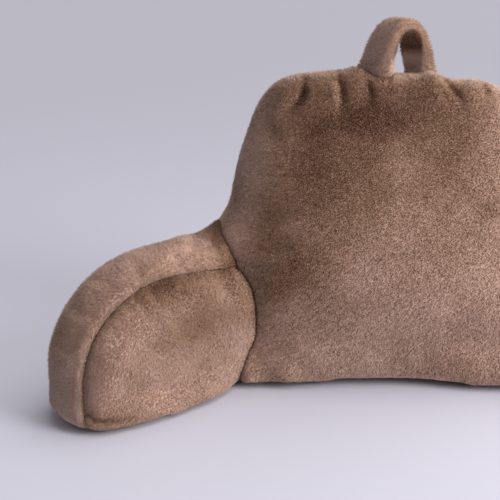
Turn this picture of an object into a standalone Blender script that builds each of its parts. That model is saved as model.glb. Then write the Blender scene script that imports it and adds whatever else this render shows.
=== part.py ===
"""Reading pillow with arms: a filled back cushion, two splayed arms and a carry loop.

Metres, +Z up. The front faces -Y and the arms spread along X. The origin lies on
the surface that the pillow stands on, under the middle of its outline.
Every outer face is the tip of the pile, so each solid is cloth, filling and pile.
"""
import math
from collections import namedtuple

import bmesh
import bpy
from mathutils import Vector

# Driving sizes
OBJECT_NAME = "reading_pillow"
GAP = 0.0003                        # air kept between neighbouring pieces
BACK_HEIGHT = 0.396                 # back cushion at its middle, without the loop
BACK_HALF_WIDTH = 0.224             # widest place of the back cushion
BACK_Y = -0.0274                    # where the back's front foot lies
TOP_SLOPE = 0.145                   # fall of the top towards +X, per metre of X and Z
ARM_LENGTH = 0.262                  # from where its inner face leaves the back
ARM_SPLAY = math.radians(49.0)      # from straight forward
ARM_ROOT_X = 0.197                  # where an arm's inner face leaves the back
SPINE_START = -0.075                # level line along the arm's middle, inside it
SPINE_END = 0.150
SPINE_HEIGHT = 0.086
DROP_START = 0.120                  # where the top starts to drop towards the back
ARM_LEAN = 0.10                     # outward lean of an arm, per metre of height
UNDERSIDE_SHARE = 0.35              # of an inset that is left where the weight rests
FLATTENED_BELOW = -0.030            # height where that underside share holds in full
PANEL_SEAM = -0.009                 # plane of the D panel's seam, across the arm
LOOP_BAND_WIDTH = 0.052
LOOP_BAND_THICKNESS = 0.022
LOOP_RISE = 0.066                   # loop above the top of the back
LOOP_SPAN = 0.093                   # between the middles of its two legs
LOOP_TURN = math.radians(40.0)      # the loop stands turned about the upright
LOOP_TILT = math.radians(90.0)      # turns the band so that its width stays level
LOOP_X = 0.0055                     # middle of the loop, beside the back's middle
LOOP_Y = 0.139                      # middle of the loop behind the front foot
REAR_CORNER = 3.0                   # the most that the rear's corners are squared
FOOT_REACH = 0.018                  # how far the foot's two sides stand forward
FOOT_REACH_TOP = 0.22               # share of the height where that has faded out
FOOT_MIDDLE = 0.30                  # share of the width that stays back
RING_POINTS = 36                    # corners of each section of the back's cage
CAGE_LEVELS = 1                     # rounding of the cages
CLEARANCE = 1.2 * GAP               # taken off each piece that is sewn to the back
WELD = 0.00005                      # closes the loop's caps
SHARP_ANGLE = math.radians(50.0)    # faces that meet in a steeper angle keep an edge

# Sections of the back cushion from foot to top: height and half width as shares of
# the driving sizes, front and rear measured from the front foot, corner as the
# power of the front's rounded outline (2 is an ellipse, more is squarer).
BackSection = namedtuple("BackSection", "height half_width front rear corner")
BACK_SECTIONS = (
    BackSection(-0.050, 0.830, 0.026, 0.160, 4.6),
    BackSection(-0.010, 0.950, 0.000, 0.192, 5.2),
    BackSection(0.060, 1.000, -0.016, 0.206, 5.0),
    BackSection(0.170, 1.010, -0.026, 0.210, 4.1),
    BackSection(0.300, 1.005, -0.024, 0.208, 3.6),
    BackSection(0.430, 0.995, -0.008, 0.202, 3.3),
    BackSection(0.560, 0.980, 0.015, 0.195, 3.1),
    BackSection(0.680, 0.954, 0.037, 0.187, 3.0),
    BackSection(0.780, 0.912, 0.055, 0.180, 2.9),
    BackSection(0.860, 0.860, 0.066, 0.176, 2.8),
    BackSection(0.920, 0.792, 0.072, 0.172, 2.7),
    BackSection(0.965, 0.700, 0.080, 0.166, 2.6),
    BackSection(0.993, 0.575, 0.091, 0.157, 2.4),
    BackSection(1.003, 0.400, 0.103, 0.145, 2.2),
)

# Folds that the loop's stitching draws into the front just under the top edge:
# where each starts, how far it leans sideways on its way down, and its size.
Fold = namedtuple("Fold", "x lean top length width depth")
FOLDS = (
    Fold(-0.122, -0.026, 0.386, 0.050, 0.0150, 0.0060),
    Fold(-0.074, 0.001, 0.388, 0.046, 0.0120, 0.0065),
    Fold(-0.045, 0.002, 0.388, 0.040, 0.0120, 0.0055),
    Fold(0.062, 0.024, 0.392, 0.044, 0.0130, 0.0070),
    Fold(0.114, 0.004, 0.384, 0.034, 0.0120, 0.0045),
)
HOLLOW_HEIGHT = 0.338               # soft trough across the front below the folds
HOLLOW_HALF_HEIGHT = 0.030
HOLLOW_HALF_WIDTH = 0.110
HOLLOW_DEPTH = 0.008
FOLD_REACH = 0.75                   # half the height of a fold, per length
FRONT_FACING = 0.35                 # the folds end where a normal leans further back

# Side outline of an arm's band, front bottom round to the root: along from where
# the inner face leaves the back, and height.
Outline = namedtuple("Outline", "along height")
ARM_OUTLINE = (
    Outline(-0.120, -0.050),
    Outline(-0.040, -0.052),
    Outline(0.050, -0.052),
    Outline(0.130, -0.050),
    Outline(0.195, -0.040),
    Outline(0.238, -0.014),
    Outline(0.261, 0.028),
    Outline(0.262, 0.074),
    Outline(0.247, 0.112),
    Outline(0.216, 0.147),
    Outline(0.173, 0.173),
    Outline(0.126, 0.187),
    Outline(0.078, 0.191),
    Outline(0.036, 0.194),
    Outline(-0.004, 0.200),
    Outline(-0.034, 0.209),
    Outline(-0.070, 0.220),
    Outline(-0.120, 0.226),
)
# Rings of an arm from its outer face to the sitter's face: across from the plane
# of the inner face, how far the outline has shrunk there, how much more its nose
# has, and how far its top drops towards the back.
ArmRing = namedtuple("ArmRing", "across inset nose drop")
ARM_RINGS = (
    ArmRing(-0.112, 0.070, 0.012, 0.000),
    ArmRing(-0.110, 0.044, 0.017, 0.000),
    ArmRing(-0.102, 0.021, 0.020, 0.000),
    ArmRing(-0.086, 0.006, 0.014, 0.000),
    ArmRing(-0.060, -0.001, 0.004, 0.000),
    ArmRing(-0.034, 0.002, 0.000, 0.006),
    ArmRing(-0.016, 0.013, 0.000, 0.014),
    ArmRing(-0.004, 0.030, 0.000, 0.022),
    ArmRing(0.009, 0.048, 0.000, 0.022),
    ArmRing(0.016, 0.068, 0.000, 0.020),
)

# Loop from the leg near the front to the leg behind it: along as a share of half
# the span, rise as a share of the loop's rise above the back.
LoopPoint = namedtuple("LoopPoint", "along rise")
LOOP_PATH = (
    LoopPoint(-1.02, -0.55),
    LoopPoint(-1.03, -0.20),
    LoopPoint(-0.91, 0.20),
    LoopPoint(-0.64, 0.55),
    LoopPoint(-0.32, 0.80),
    LoopPoint(0.00, 0.90),
    LoopPoint(0.38, 0.82),
    LoopPoint(0.74, 0.56),
    LoopPoint(0.97, 0.20),
    LoopPoint(1.04, -0.20),
    LoopPoint(1.02, -0.55),
)

MATERIALS = {
    "back_cushion": ("plush_back", (0.262, 0.159, 0.120)),
    "arm_left": ("plush_arm_left", (0.296, 0.184, 0.141)),
    "arm_right": ("plush_arm_right", (0.290, 0.180, 0.138)),
    "arm_panel_left": ("plush_panel_left", (0.330, 0.206, 0.160)),
    "arm_panel_right": ("plush_panel_right", (0.324, 0.202, 0.156)),
    "carry_loop": ("plush_loop", (0.240, 0.146, 0.110)),
}
PLUSH_ROUGHNESS = 0.95


def smooth(share):
    """Rise smoothly from zero to one."""
    share = min(max(share, 0.0), 1.0)
    return share * share * (3.0 - 2.0 * share)


def clear_scene():
    """Remove every object, so that the model starts from an empty scene."""
    for obj in list(bpy.data.objects):
        bpy.data.objects.remove(obj, do_unlink=True)


def new_collection(name):
    """Make a collection in the scene."""
    collection = bpy.data.collections.new(name)
    bpy.context.scene.collection.children.link(collection)
    return collection


def plush(name, colour):
    """Matt dyed plush, which has no metal in it and no gloss."""
    material = bpy.data.materials.new(name)
    material.use_nodes = True
    shader = material.node_tree.nodes["Principled BSDF"]
    shader.inputs["Base Color"].default_value = (*colour, 1.0)
    shader.inputs["Roughness"].default_value = PLUSH_ROUGHNESS
    shader.inputs["Metallic"].default_value = 0.0
    return material


def loft(name, rings, levels):
    """Join closed rings into one cage, close its ends with strips and round it."""
    bm = bmesh.new()
    loops = [[bm.verts.new(point) for point in ring] for ring in rings]
    count = len(loops[0])
    for lower, upper in zip(loops, loops[1:]):
        for index in range(count):
            following = (index + 1) % count
            bm.faces.new((lower[index], lower[following], upper[following], upper[index]))
    for loop in (loops[0], loops[-1]):
        for index in range(count // 2 - 1):
            far = count - 1 - index
            bm.faces.new((loop[index], loop[index + 1], loop[far - 1], loop[far]))
    bmesh.ops.recalc_face_normals(bm, faces=bm.faces)
    mesh = bpy.data.meshes.new(name)
    bm.to_mesh(mesh)
    bm.free()
    obj = bpy.data.objects.new(name, mesh)
    bpy.context.scene.collection.objects.link(obj)
    rounding = obj.modifiers.new("rounding", "SUBSURF")
    rounding.levels = levels
    rounding.render_levels = levels
    return apply_modifiers(obj)


def apply_modifiers(obj):
    """Replace an object's mesh by its evaluated one, in world space."""
    bpy.context.view_layer.update()
    depsgraph = bpy.context.evaluated_depsgraph_get()
    evaluated = obj.evaluated_get(depsgraph)
    mesh = bpy.data.meshes.new_from_object(evaluated)
    mesh.transform(obj.matrix_world)
    name = obj.name
    bpy.data.objects.remove(obj, do_unlink=True)
    mesh.name = name
    result = bpy.data.objects.new(name, mesh)
    bpy.context.scene.collection.objects.link(result)
    return result


def keep_side(obj, point, normal):
    """Cut an object flat and keep the side that the normal points to, closed and
    in triangles, so that every copy of it has the same facets."""
    bm = bmesh.new()
    bm.from_mesh(obj.data)
    geometry = bm.verts[:] + bm.edges[:] + bm.faces[:]
    cut = bmesh.ops.bisect_plane(
        bm, geom=geometry, plane_co=point, plane_no=normal, clear_inner=True)
    rim = [item for item in cut["geom_cut"] if isinstance(item, bmesh.types.BMEdge)]
    bmesh.ops.holes_fill(bm, edges=rim, sides=len(rim))
    bmesh.ops.triangulate(bm, faces=bm.faces)
    bmesh.ops.recalc_face_normals(bm, faces=bm.faces)
    bm.to_mesh(obj.data)
    bm.free()
    obj.data.update()


def copy_of(obj, name):
    """Copy an object together with its mesh."""
    copy = bpy.data.objects.new(name, obj.data.copy())
    bpy.context.scene.collection.objects.link(copy)
    return copy


def back_outline(section):
    """One level outline of the back cushion, rounded by its corner power."""
    half_width = section.half_width * BACK_HALF_WIDTH
    half_depth = (section.rear - section.front) / 2.0
    middle = BACK_Y + (section.rear + section.front) / 2.0
    height = section.height * BACK_HEIGHT
    points = []
    for index in range(RING_POINTS):
        angle = 2.0 * math.pi * index / RING_POINTS
        cosine = math.cos(angle)
        sine = math.sin(angle)
        power = 2.0 / (section.corner if sine < 0.0 else min(section.corner, REAR_CORNER))
        x = half_width * math.copysign(abs(cosine) ** power, cosine)
        y = middle + half_depth * math.copysign(abs(sine) ** power, sine)
        side = smooth((abs(x) / half_width - FOOT_MIDDLE) / (1.0 - FOOT_MIDDLE))
        low = smooth(1.0 - max(section.height, 0.0) / FOOT_REACH_TOP)
        if sine < 0.0:
            y -= FOOT_REACH * side * low
        points.append(Vector((x, y, height * (1.0 - TOP_SLOPE * x))))
    return points


def bump(distance, half_width):
    """A smooth hump of height one that ends at its half width."""
    share = min(abs(distance) / half_width, 1.0)
    return 0.5 * (1.0 + math.cos(math.pi * share))


def press_folds(obj):
    """Draw the gathered folds and the trough below them into the front."""
    for vertex in obj.data.vertices:
        if vertex.normal.y > FRONT_FACING:
            continue
        place = vertex.co.copy()
        depth = 0.0
        for fold in FOLDS:
            middle = fold.top - 0.5 * fold.length
            share = (fold.top - place.z) / fold.length
            line = fold.x + fold.lean * share
            depth += fold.depth * bump(place.x - line, fold.width) * bump(
                place.z - middle, FOLD_REACH * fold.length)
        depth += HOLLOW_DEPTH * bump(place.z - HOLLOW_HEIGHT, HOLLOW_HALF_HEIGHT) * bump(
            place.x, HOLLOW_HALF_WIDTH)
        vertex.co = place - depth * vertex.normal


def make_back():
    """The tall filled cushion, flat where it stands."""
    rings = [back_outline(section) for section in BACK_SECTIONS]
    back = loft("back_cushion", rings, CAGE_LEVELS)
    press_folds(back)
    keep_side(back, (0.0, 0.0, 0.0), (0.0, 0.0, 1.0))
    return back


def grown(obj, name, distance):
    """Copy an object with its faces moved outwards by a distance."""
    copy = copy_of(obj, name)
    bm = bmesh.new()
    bm.from_mesh(copy.data)
    bm.normal_update()
    moves = [(vertex, distance * vertex.normal) for vertex in bm.verts]
    for vertex, move in moves:
        vertex.co += move
    bm.to_mesh(copy.data)
    bm.free()
    copy.data.update()
    return copy


def arm_frame(side):
    """Origin, direction along the arm and direction towards the sitter."""
    origin = Vector((side * ARM_ROOT_X, BACK_Y, 0.0))
    along = Vector((side * math.sin(ARM_SPLAY), -math.cos(ARM_SPLAY), 0.0))
    inward = Vector((-side * math.cos(ARM_SPLAY), -math.sin(ARM_SPLAY), 0.0))
    return origin, along, inward


def shrunk_outline(outline, ring):
    """Shrink a closed outline towards the arm's spine, a level line inside it."""
    points = []
    for point in outline:
        root = min(max((DROP_START - point.along) / DROP_START, 0.0), 1.0)
        top = 1.0 if point.height > SPINE_HEIGHT else 0.0
        place = Vector((point.along, point.height - top * root * ring.drop))
        nearest = min(max(point.along, SPINE_START), SPINE_END)
        spine = Vector((nearest, SPINE_HEIGHT))
        reach = (spine - place).normalized()
        lifted = smooth((place.y - FLATTENED_BELOW) / (SPINE_HEIGHT - FLATTENED_BELOW))
        share = UNDERSIDE_SHARE + (1.0 - UNDERSIDE_SHARE) * lifted
        front = max(point.along - SPINE_END, 0.0) / (ARM_LENGTH - SPINE_END)
        points.append(place + (share * ring.inset + front * ring.nose) * reach)
    return points


def arm_form(side, name):
    """The whole rounded arm before it is cut by the floor, seam and back."""
    origin, along, inward = arm_frame(side)
    rings = []
    for ring in ARM_RINGS:
        points = []
        for place in shrunk_outline(ARM_OUTLINE, ring):
            across = ring.across - ARM_LEAN * max(place.y, 0.0)
            points.append(
                origin + place.x * along + across * inward + Vector((0.0, 0.0, place.y)))
        rings.append(points)
    return loft(name, rings, CAGE_LEVELS)


def subtract(obj, cutter):
    """Take a cutter's space out of an object."""
    boolean = obj.modifiers.new("clearance", "BOOLEAN")
    boolean.operation = "DIFFERENCE"
    boolean.solver = "EXACT"
    boolean.object = cutter
    return apply_modifiers(obj)


def make_arm(side, label, cutter):
    """An arm's filled body and the crowned D panel on its inner face."""
    origin, _, inward = arm_frame(side)
    body = arm_form(side, "arm_" + label)
    keep_side(body, (0.0, 0.0, 0.0), (0.0, 0.0, 1.0))
    panel = copy_of(body, "arm_panel_" + label)
    normal = (inward + Vector((0.0, 0.0, ARM_LEAN))).normalized()
    seam = origin + PANEL_SEAM * inward
    keep_side(body, seam - 0.5 * GAP * normal, -normal)
    keep_side(panel, seam + 0.5 * GAP * normal, normal)
    return subtract(body, cutter), subtract(panel, cutter)


def make_loop(cutter):
    """The carry loop, a padded band bent into an arch and sewn into the top."""
    data = bpy.data.curves.new("carry_loop", "CURVE")
    data.dimensions = "3D"
    data.twist_mode = "MINIMUM"
    data.fill_mode = "FULL"
    data.bevel_depth = LOOP_BAND_THICKNESS / 2.0
    data.bevel_resolution = 2
    data.extrude = (LOOP_BAND_WIDTH - LOOP_BAND_THICKNESS) / 2.0
    data.use_fill_caps = True
    path = data.splines.new("NURBS")
    path.points.add(len(LOOP_PATH) - 1)
    path.order_u = 4
    path.use_endpoint_u = True
    path.resolution_u = 3
    turned = Vector((math.cos(LOOP_TURN), math.sin(LOOP_TURN), 0.0))
    foot = Vector((LOOP_X, BACK_Y + LOOP_Y, BACK_HEIGHT))
    for point, place in zip(path.points, LOOP_PATH):
        position = foot + 0.5 * LOOP_SPAN * place.along * turned
        position.z += LOOP_RISE * place.rise
        point.co = (*position, 1.0)
        point.tilt = LOOP_TILT
    curve = bpy.data.objects.new("carry_loop", data)
    bpy.context.scene.collection.objects.link(curve)
    loop = apply_modifiers(curve)
    bm = bmesh.new()
    bm.from_mesh(loop.data)
    bmesh.ops.remove_doubles(bm, verts=bm.verts, dist=WELD)
    bmesh.ops.triangulate(bm, faces=bm.faces)
    bmesh.ops.recalc_face_normals(bm, faces=bm.faces)
    bm.to_mesh(loop.data)
    bm.free()
    loop.data.update()
    return subtract(loop, cutter)


def file_object(obj, name, collection):
    """Name a finished piece, give it its plush and move it to its collection."""
    obj.name = name
    obj.data.name = name
    for owner in list(obj.users_collection):
        owner.objects.unlink(obj)
    collection.objects.link(obj)
    material_name, colour = MATERIALS[name]
    obj.data.materials.clear()
    obj.data.materials.append(plush(material_name, colour))
    obj.data.shade_smooth()
    obj.data.set_sharp_from_angle(angle=SHARP_ANGLE)


def main():
    """Build the pillow."""
    clear_scene()
    parts = new_collection(OBJECT_NAME)
    cutters = new_collection(OBJECT_NAME + "_cutters")
    back = make_back()
    clearance = grown(back, "back_clearance", CLEARANCE)
    pieces = {"back_cushion": back, "carry_loop": make_loop(clearance)}
    for side, label in ((-1.0, "left"), (1.0, "right")):
        body, panel = make_arm(side, label, clearance)
        pieces["arm_" + label] = body
        pieces["arm_panel_" + label] = panel
    for name, obj in pieces.items():
        file_object(obj, name, parts)
    bpy.context.scene.collection.objects.unlink(clearance)
    cutters.objects.link(clearance)
    clearance.hide_render = True
    clearance.display_type = "WIRE"


main()
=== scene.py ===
"""Reading pillow with arms: the filled cloth and its pile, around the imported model.

Metres, +Z up, the front faces -Y. Each cushion is a simulated skin, drawn in by the
height of its pile, with seams and gathers worked in, and tufts of pile rooted in it.
"""
import math
from collections import namedtuple

import bmesh
import bpy
import numpy as np
from bpy.props import FloatProperty, FloatVectorProperty, IntProperty, PointerProperty
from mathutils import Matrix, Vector
from mathutils.bvhtree import BVHTree
from mathutils.kdtree import KDTree

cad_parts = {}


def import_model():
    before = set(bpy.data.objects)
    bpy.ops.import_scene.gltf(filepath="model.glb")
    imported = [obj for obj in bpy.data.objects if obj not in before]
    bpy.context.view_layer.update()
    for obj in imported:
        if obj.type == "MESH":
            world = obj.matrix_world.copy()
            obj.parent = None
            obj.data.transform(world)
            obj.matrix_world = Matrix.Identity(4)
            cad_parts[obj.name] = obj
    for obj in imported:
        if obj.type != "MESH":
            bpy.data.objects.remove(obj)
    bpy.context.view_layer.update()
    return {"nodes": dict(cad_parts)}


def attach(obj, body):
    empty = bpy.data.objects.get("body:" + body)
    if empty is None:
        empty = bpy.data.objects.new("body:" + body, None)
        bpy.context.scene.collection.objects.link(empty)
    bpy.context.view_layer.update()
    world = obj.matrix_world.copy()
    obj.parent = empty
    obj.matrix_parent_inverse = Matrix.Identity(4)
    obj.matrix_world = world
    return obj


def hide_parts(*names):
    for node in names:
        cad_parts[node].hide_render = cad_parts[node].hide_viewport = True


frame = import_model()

bl_info = {
    "name": "Reading Pillow",
    "version": (1, 0, 0),
    "blender": (4, 5, 0),
    "location": "3D View > Sidebar > Pillow",
    "description": "Makes the plush skins, pile, seams and stage of a reading pillow",
    "category": "Object",
}

BODY = "root"
MAP_NAME = "OFBake"  # the pile's map: tone across, root to tip upwards
TONE_NAME = "tone"  # the skins' tone, point by point, painted shade included
TONE_LIMITS = (0.03, 0.97)  # how near a tone comes to the ends of the colour ramp
PACKED_GAP = 0.0005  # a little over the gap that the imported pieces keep

# The skins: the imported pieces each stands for, its slot, how firmly it is filled, the seed
# and the grain of its pile, and the skins that it is sewn to
Skin = namedtuple("Skin", "nodes slot firmness seed grain neighbours")
SKINS = {
    "back_cushion": Skin(
        ["back_cushion"], "plush_back", 0.7, 1, 0.105, ["arm_left", "arm_right", "carry_loop"]),
    "arm_left": Skin(
        ["arm_left", "arm_panel_left"], "plush_arm", 0.7, 2, 0.033, ["back_cushion"]),
    "arm_right": Skin(
        ["arm_right", "arm_panel_right"], "plush_arm", 0.7, 3, 0.033, ["back_cushion"]),
    "carry_loop": Skin(["carry_loop"], "plush_loop", 0.5, 9, 0.09, ["back_cushion"]),
}

# Ways that the pile lies before it is ruffled, in the frame's axes
NAP_BACK = (0.0, -0.35, -1.0)
NAP_ARM = (0.5, -0.5, -0.9)  # x towards the arm's outer side
NAP_LOOP = (0.0, -0.2, -1.0)

# Folds gathered into the top edge: path as (x, z), depth, half width, ridge and its side
FRONT_FOLDS = (
    (((-0.12, 0.386), (-0.1245, 0.366), (-0.131, 0.356), (-0.148, 0.342)),
     0.0036, 0.01, 0.002, 1.0),
    (((-0.0745, 0.39), (-0.0735, 0.362), (-0.0745, 0.342)), 0.005, 0.011, 0.003, -1.0),
    (((-0.0385, 0.386), (-0.036, 0.366), (-0.0355, 0.352)), 0.0022, 0.009, 0.0015, 1.0),
    (((-0.01, 0.392), (-0.008, 0.378), (-0.018, 0.364)), 0.0025, 0.009, 0.0015, -1.0),
    (((0.018, 0.392), (0.015, 0.376)), 0.0022, 0.008, 0.001, 1.0),
    (((0.06, 0.392), (0.067, 0.383), (0.0785, 0.37), (0.088, 0.356)),
     0.006, 0.011, 0.0045, -1.0),
    (((0.122, 0.39), (0.1204, 0.372), (0.119, 0.36)), 0.0045, 0.01, 0.0025, -1.0),
    (((0.158, 0.38), (0.165, 0.362), (0.176, 0.348)), 0.004, 0.01, 0.002, 1.0),
)
REAR_FOLDS = (
    (((-0.135, 0.386), (-0.142, 0.364), (-0.15, 0.346)), 0.004, 0.011, 0.002, 1.0),
    (((-0.06, 0.392), (-0.058, 0.37), (-0.062, 0.35)), 0.0035, 0.01, 0.002, -1.0),
    (((0.048, 0.392), (0.054, 0.368), (0.052, 0.35)), 0.0035, 0.01, 0.002, 1.0),
    (((0.118, 0.388), (0.124, 0.366), (0.136, 0.35)), 0.004, 0.01, 0.002, -1.0),
)
DEEPEST_FOLD = 0.006  # a fold of this depth gets the darkest painted shade
# Where the top edge sags or stands a little: x, half width, rise
TOP_RISES = ((-0.115, 0.05, -0.003), (-0.052, 0.022, 0.003), (0.052, 0.02, 0.004),
             (0.082, 0.03, -0.004))

# Crease over the foot of an arm's inner face: path as (x, z), x away from the middle
FOOT_CREASE = (
    (0.385, 0.027), (0.374, 0.019), (0.36, 0.016), (0.345, 0.0142), (0.332, 0.0145))

# Patches of other-way nap and of painted shade and light: x, z, half width, half height, change of
# tone
BACK_NAP_AND_SHADING = (
    (-0.04, 0.335, 0.1, 0.03, -0.12), (-0.105, 0.318, 0.045, 0.03, -0.07),
    (-0.13, 0.245, 0.07, 0.08, -0.1), (-0.13, 0.155, 0.08, 0.06, -0.22),
    (-0.172, 0.2, 0.035, 0.07, -0.12), (-0.2, 0.29, 0.035, 0.08, 0.12),
    (0.012, 0.276, 0.062, 0.06, 0.14), (0.112, 0.215, 0.045, 0.085, -0.13),
    (-0.215, 0.205, 0.03, 0.055, 0.14), (-0.164, 0.128, 0.045, 0.042, -0.2),
    (-0.078, 0.2, 0.042, 0.075, -0.08), (-0.158, 0.328, 0.026, 0.045, -0.12),
)
# The same on an arm's inner face, nap and painted shade, x away from the middle
ARM_NAP_AND_SHADING = (
    (0.292, 0.15, 0.085, 0.032, -0.26), (0.245, 0.112, 0.06, 0.05, -0.18),
    (0.275, 0.092, 0.045, 0.035, -0.13), (0.385, 0.1, 0.035, 0.06, -0.08),
)
# Shade on an arm near the back: strength, reach from it, the height it starts at, its rise
ROOT_SHADES = (
    (0.17, 0.045, 0.05, 0.05), (0.18, 0.04, 0.13, 0.03), (0.12, 0.02, 0.165, 0.02))


# ---- numbers and curves

def linear(code):
    """Linear colour of an sRGB hex value."""
    channels = [int(code[start:start + 2], 16) / 255.0 for start in (1, 3, 5)]
    return tuple(
        value / 12.92 if value <= 0.04045 else ((value + 0.055) / 1.055) ** 2.4
        for value in channels)


def lengths(vectors):
    """Length of each row."""
    return np.sqrt((vectors ** 2).sum(axis=1))


def unit(vectors):
    """Each row at length one."""
    return vectors / np.maximum(lengths(vectors), 1e-9)[:, None]


def smooth(share):
    """Rise smoothly from zero to one."""
    share = np.clip(share, 0.0, 1.0)
    return share * share * (3.0 - 2.0 * share)


def above(value, start, width):
    """Rise smoothly to one over this width above a start."""
    return smooth((value - start) / width)


def below(value, start, width):
    """Rise smoothly to one over this width below a start."""
    return smooth((start - value) / width)


def hump(distance, half_width):
    """A smooth hump of height one that ends at its half width."""
    share = np.clip(np.abs(distance) / half_width, 0.0, 1.0)
    return 0.5 * (1.0 + np.cos(np.pi * share))


def lattice(cell, seed):
    """An even spread of numbers from -1 to 1, one for each whole-numbered cell."""
    half, whole = 2147483647.5, 0xFFFFFFFF
    mixed = np.bitwise_xor.reduce(cell * np.array([73856093, 19349663, 83492791]), axis=1)
    mixed = (mixed + seed * 2654435761) & whole
    for shift, prime in ((15, 2246822519), (13, 3266489917)):
        mixed = ((mixed ^ (mixed >> shift)) * prime) & whole
    return (mixed ^ (mixed >> 16)) / half - 1.0


def patches(points, size, seed):
    """Smooth noise from -1 to 1 whose patches are about this size."""
    place = points / size + 57.0
    cell = np.floor(place).astype(np.int64)
    share = smooth(place - cell)
    total = np.zeros(len(points))
    for corner in range(8):
        step = np.array([corner & 1, corner >> 1 & 1, corner >> 2 & 1])
        weight = np.prod(np.where(step == 1, share, 1.0 - share), axis=1)
        total += weight * lattice(cell + step, seed)
    return total


def mottle(points, *waves):
    """Several sizes of that noise added up: each a strength, size and seed."""
    return sum(strength * patches(points, size, seed) for strength, size, seed in waves)


def beside(flat, path):
    """Distance of flat points from a path, the side they are on and how far along."""
    path = np.array(path)
    way = np.diff(path, axis=0)
    steps = np.hypot(*way.T)
    way /= steps[:, None]
    offset = flat[:, None] - path[:-1]
    share = np.clip((offset * way).sum(axis=2), 0.0, steps)
    gap = offset - share[..., None] * way
    distance = np.hypot(gap[..., 0], gap[..., 1])
    turn = way[:, 0] * offset[..., 1] - way[:, 1] * offset[..., 0]
    along = (np.cumsum(steps) - steps + share) / steps.sum()
    nearest = (np.arange(len(flat)), distance.argmin(axis=1))
    return distance[nearest], np.sign(turn[nearest]), along[nearest]


def fold_push(points, folds):
    """How far folds push points out along the surface, and how much shade is painted into their
    troughs.
    """
    push = np.zeros(len(points))
    shade = np.zeros(len(points))
    for path, depth, width, ridge, ridge_side in folds:
        distance, side, along = beside(points[:, [0, 2]], path)
        fade = smooth(1.15 - along)
        crest = hump(distance - width * 0.95, width * 0.9) * (side == ridge_side)
        push += (ridge * crest - depth * hump(distance, width)) * fade
        dark = depth / DEEPEST_FOLD * hump(distance, width * 0.6) * fade
        shade = np.maximum(shade, dark)
    return push, shade


def foot_crease(points):
    """Distance of points from the crease over an arm's foot, and how it fades at its end."""
    distance, _, along = beside(np.abs(points[:, [0, 2]]), FOOT_CREASE)
    return distance, smooth(1.4 - along)


def nap_and_shading_tone(points, brushed):
    """Change of tone from patches of nap brushed the other way and of painted shade and light."""
    tone = np.zeros(len(points))
    for x, z, half_width, half_height, change in brushed:
        across = (points[:, 0] - x) / half_width
        up = (points[:, 2] - z) / half_height
        tone += change * smooth(1.0 - np.hypot(across, up))
    return tone


# ---- mesh helpers

Surface = namedtuple("Surface", "points normals triangles")


def read_rows(items, key, kind):
    """A property of a mesh's items, as rows of three."""
    values = np.empty(len(items) * 3, kind)
    items.foreach_get(key, values)
    return values.reshape(-1, 3)


def surface_of(obj):
    """A mesh object's points, point normals and triangles as arrays."""
    mesh = obj.data
    mesh.calc_loop_triangles()
    return Surface(
        read_rows(mesh.vertices, "co", np.float32).astype(np.float64),
        read_rows(mesh.vertex_normals, "vector", np.float32).astype(np.float64),
        read_rows(mesh.loop_triangles, "vertices", np.int32))


def cross_of(corners):
    """Each triangle's normal, as long as twice its area."""
    return np.cross(corners[:, 1] - corners[:, 0], corners[:, 2] - corners[:, 0])


def pushed(surface, push):
    """A surface's points, pushed out along its normals."""
    return surface.points + push[:, None] * surface.normals


def set_points(obj, points):
    """Write an object's mesh points back."""
    obj.data.vertices.foreach_set("co", points.astype(np.float32).ravel())
    obj.data.update()


def assign(item, **values):
    """Set several of an item's values."""
    for key, value in values.items():
        setattr(item, key, value)


def add_object(name, data):
    """A new object in the scene, made of this data."""
    obj = bpy.data.objects.new(name, data)
    bpy.context.scene.collection.objects.link(obj)
    return obj


def add_shape(name, bm):
    """A new object in the scene with this shape."""
    mesh = bpy.data.meshes.new(name)
    bm.to_mesh(mesh)
    bm.free()
    return add_object(name, mesh)


def settle(obj):
    """Replace an object's mesh by its evaluated one and drop its modifiers."""
    bpy.context.view_layer.update()
    depsgraph = bpy.context.evaluated_depsgraph_get()
    mesh = bpy.data.meshes.new_from_object(obj.evaluated_get(depsgraph), depsgraph=depsgraph)
    mesh.name = obj.name
    obj.modifiers.clear()
    obj.data = mesh


def modify(obj, kind, **values):
    """Work one modifier into an object's mesh."""
    assign(obj.modifiers.new(kind, kind), **values)
    settle(obj)


def share_group(obj, name, share):
    """Make a vertex group from each point's share, and return its name."""
    group = obj.vertex_groups.new(name=name)
    for index in np.flatnonzero(share > 0.01):
        group.add([int(index)], float(share[index]), "REPLACE")
    return group.name


def relax(obj, rounds, group=""):
    """Smooth the mesh a little, or only a vertex group of it."""
    modify(obj, "SMOOTH", factor=0.5, iterations=rounds, vertex_group=group)


def subdivide(obj):
    """Round the mesh by one subdivision."""
    modify(obj, "SUBSURF", levels=1, render_levels=1)


def tree_of(*objects):
    """A search tree over the shapes of several objects."""
    points = []
    triangles = []
    for obj in objects:
        surface = surface_of(obj)
        triangles += (surface.triangles + len(points)).tolist()
        points += surface.points.tolist()
    return BVHTree.FromPolygons(points, triangles)


def distance_to(tree, points, deepest=0.014):
    """Distance of each point from a search tree's shape, less than zero just inside it.

    What is deeper counts as outside. The nearest face misleads past a sharp edge, so the
    face straight above has to agree.
    """
    found = np.empty(len(points))
    for index, point in enumerate(points):
        nearest, normal, _, distance = tree.find_nearest(Vector(point))
        inside = distance < deepest and (Vector(point) - nearest).dot(normal) < 0.0
        if inside:
            _, roof, _, _ = tree.ray_cast(Vector(point), Vector((0.0, 0.0, 1.0)))
            inside = roof is not None and roof.z > 0.0
        found[index] = -distance if inside else distance
    return found


def facing_down(normals):
    """How far each normal points down, from zero to one."""
    return np.clip(-normals[:, 2], 0.0, 1.0)


def packed(*nodes):
    """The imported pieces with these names."""
    return [frame["nodes"][node] for node in nodes]


def skins(*names):
    """The finished skins with these names."""
    return [bpy.data.objects[name + "_skin"] for name in names]


# ---- cloth

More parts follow.
